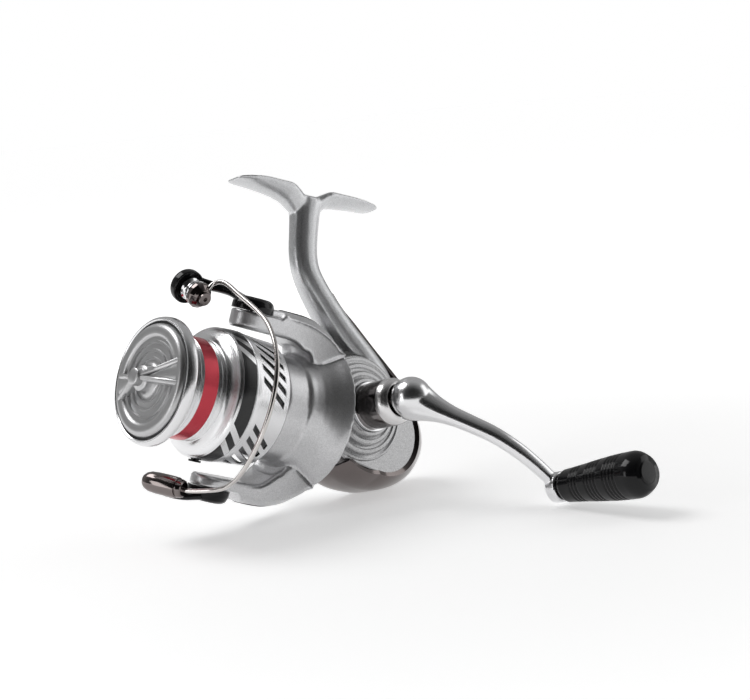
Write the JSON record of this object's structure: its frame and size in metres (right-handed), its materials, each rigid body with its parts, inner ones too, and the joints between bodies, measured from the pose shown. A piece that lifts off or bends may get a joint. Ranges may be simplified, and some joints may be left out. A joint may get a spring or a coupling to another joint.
{
  "type": "spinning reel",
  "caption": "Front-drag spinning reel with a machined spool, full bail and line roller, two-armed rotor, rod foot and folding crank handle.",
  "frame": {"origin": "middle of the flat rear seat pad on top of the rod foot", "axes": "+Z is the pad's outward normal, towards the rod; +Y runs backwards along the foot, so the spool faces -Y, tipped 4 degrees up at the front; +X is the handle side"},
  "size_m": [0.1427, 0.1428, 0.1266],
  "materials": {
    "arm_metal": "satin polished",
    "body_silver": "satin silver metallic paint with fine flake over a die-cast shell",
    "brass": "machined brass",
    "chrome": "polished chrome plate",
    "cover_silver": "satin silver, stepped rings turned bright",
    "dark_chrome": "glossy dark chrome plating",
    "felt": "oiled felt",
    "gloss_black": "gloss black",
    "knob_satin": "satin silver with bright edges",
    "matte_black": "matte black moulding",
    "rotor_silver": "satin silver metallic paint with fine flake",
    "rubber_black": "black rubber",
    "spool_metal": "machined and polished, fine turning lines, red anodised band on the arbor, black skirt band",
    "steel": "ground stainless steel",
    "wire_steel": "polished stainless wire",
    "zinc": "die-cast alloy"
  },
  "bodies": {
    "frame": {"reel_body": "body_silver", "side_cover": "cover_silver", "cover_screws": "steel", "rear_cover": "dark_chrome", "rear_cover_screw": "steel", "drive_bearing_left": "steel", "drive_bearing_right": "steel", "guide_rod": "steel", "pinion_bearing": "steel", "clutch_outer_ring": "steel", "clutch_rollers": "steel", "clutch_retainer": "matte_black", "clutch_retainer_screws": "steel", "brake_ring": "rubber_black", "bail_trip_ramp": "matte_black"},
    "crank": {"drive_gear": "zinc", "handle_shank": "dark_chrome", "fold_pin": "chrome", "handle_screw_cap": "dark_chrome"},
    "crank_arm": {"handle_arm": "arm_metal", "knob_spindle": "steel"},
    "knob": {"handle_knob": "gloss_black", "knob_cap": "gloss_black", "knob_bushings": "matte_black"},
    "oscillator": {"oscillation_gear": "zinc"},
    "rotor": {"pinion_gear": "brass", "clutch_sleeve": "steel", "rotor": "rotor_silver", "rotor_nut": "brass", "nut_lock_screw": "steel", "upper_arm_cover": "gloss_black", "lower_arm_cover": "gloss_black", "arm_cover_screws": "steel", "bail_pivot_screws": "chrome", "bail_spring": "steel"},
    "bail": {"bail_arm": "gloss_black", "roller_bushing": "matte_black", "roller_screw": "chrome", "bail_cone": "dark_chrome", "bail_wire": "wire_steel", "bail_lever": "dark_chrome"},
    "roller": {"line_roller": "chrome"},
    "kick": {"kick_lever": "steel"},
    "shaft": {"main_shaft": "steel", "crosshead": "zinc", "crosshead_screw": "steel", "click_wheel": "steel", "shaft_pin": "steel", "drag_washers_metal": "steel"},
    "spool": {"spool": "spool_metal", "spool_bushing": "matte_black", "line_clip": "gloss_black", "drag_washers_felt": "felt", "drag_retainer": "steel", "click_pawl": "matte_black"},
    "drag_knob": {"drag_knob": "knob_satin", "drag_knob_nut": "brass", "drag_knob_spring": "steel", "drag_knob_seal": "rubber_black"}
  },
  "joints": [
    {"name": "handle_spin", "type": "hinge", "parent": "frame", "child": "crank", "pos_m": [0, 0.00083, -0.08478], "axis": [1, 0, 0], "continuous": true},
    {"name": "handle_fold", "type": "hinge", "parent": "crank", "child": "crank_arm", "pos_m": [0.0395, 0.00083, -0.08478], "axis": [0, -0.6414, -0.7672], "range_deg": [0, 85]},
    {"name": "knob_spin", "type": "hinge", "parent": "crank_arm", "child": "knob", "pos_m": [0.092, 0.04087, -0.11826], "axis": [1, 0, 0], "continuous": true},
    {"name": "oscillation_spin", "type": "hinge", "parent": "frame", "child": "oscillator", "pos_m": [0.0052, 0.01342, -0.09176], "axis": [1, 0, 0], "continuous": true},
    {"name": "rotor_spin", "type": "hinge", "parent": "frame", "child": "rotor", "pos_m": [0, -0.02805, -0.08637], "axis": [0, 0.9976, -0.0698], "continuous": true},
    {"name": "bail_open", "type": "hinge", "parent": "rotor", "child": "bail", "pos_m": [0, -0.051, -0.08476], "axis": [-0.309, -0.0663, -0.9487], "range_deg": [0, 112]},
    {"name": "roller_spin", "type": "hinge", "parent": "bail", "child": "roller", "pos_m": [0.00151, -0.06867, -0.04807], "axis": [0.8106, 0.0888, -0.5789], "continuous": true},
    {"name": "kick_slide", "type": "slide", "parent": "rotor", "child": "kick", "axis": [0, 0.9976, -0.0698], "range_m": [0, 0.002]},
    {"name": "spool_travel", "type": "slide", "parent": "frame", "child": "shaft", "axis": [0, 0.9976, -0.0698], "range_m": [0, 0.0135]},
    {"name": "spool_slip", "type": "hinge", "parent": "shaft", "child": "spool", "pos_m": [0, -0.07095, -0.08337], "axis": [0, 0.9976, -0.0698], "continuous": true},
    {"name": "drag_turn", "type": "hinge", "parent": "shaft", "child": "drag_knob", "pos_m": [0, -0.08591, -0.08232], "axis": [0, 0.9976, -0.0698], "range_deg": [-360, 720]}
  ],
  "couplings": [
    {"joint": "oscillation_spin", "follows": "handle_spin", "ratio": -0.5},
    {"joint": "rotor_spin", "follows": "handle_spin", "ratio": -5.2857},
    {"joint": "kick_slide", "follows": "bail_open", "m_per_rad": 0.00102}
  ]
}
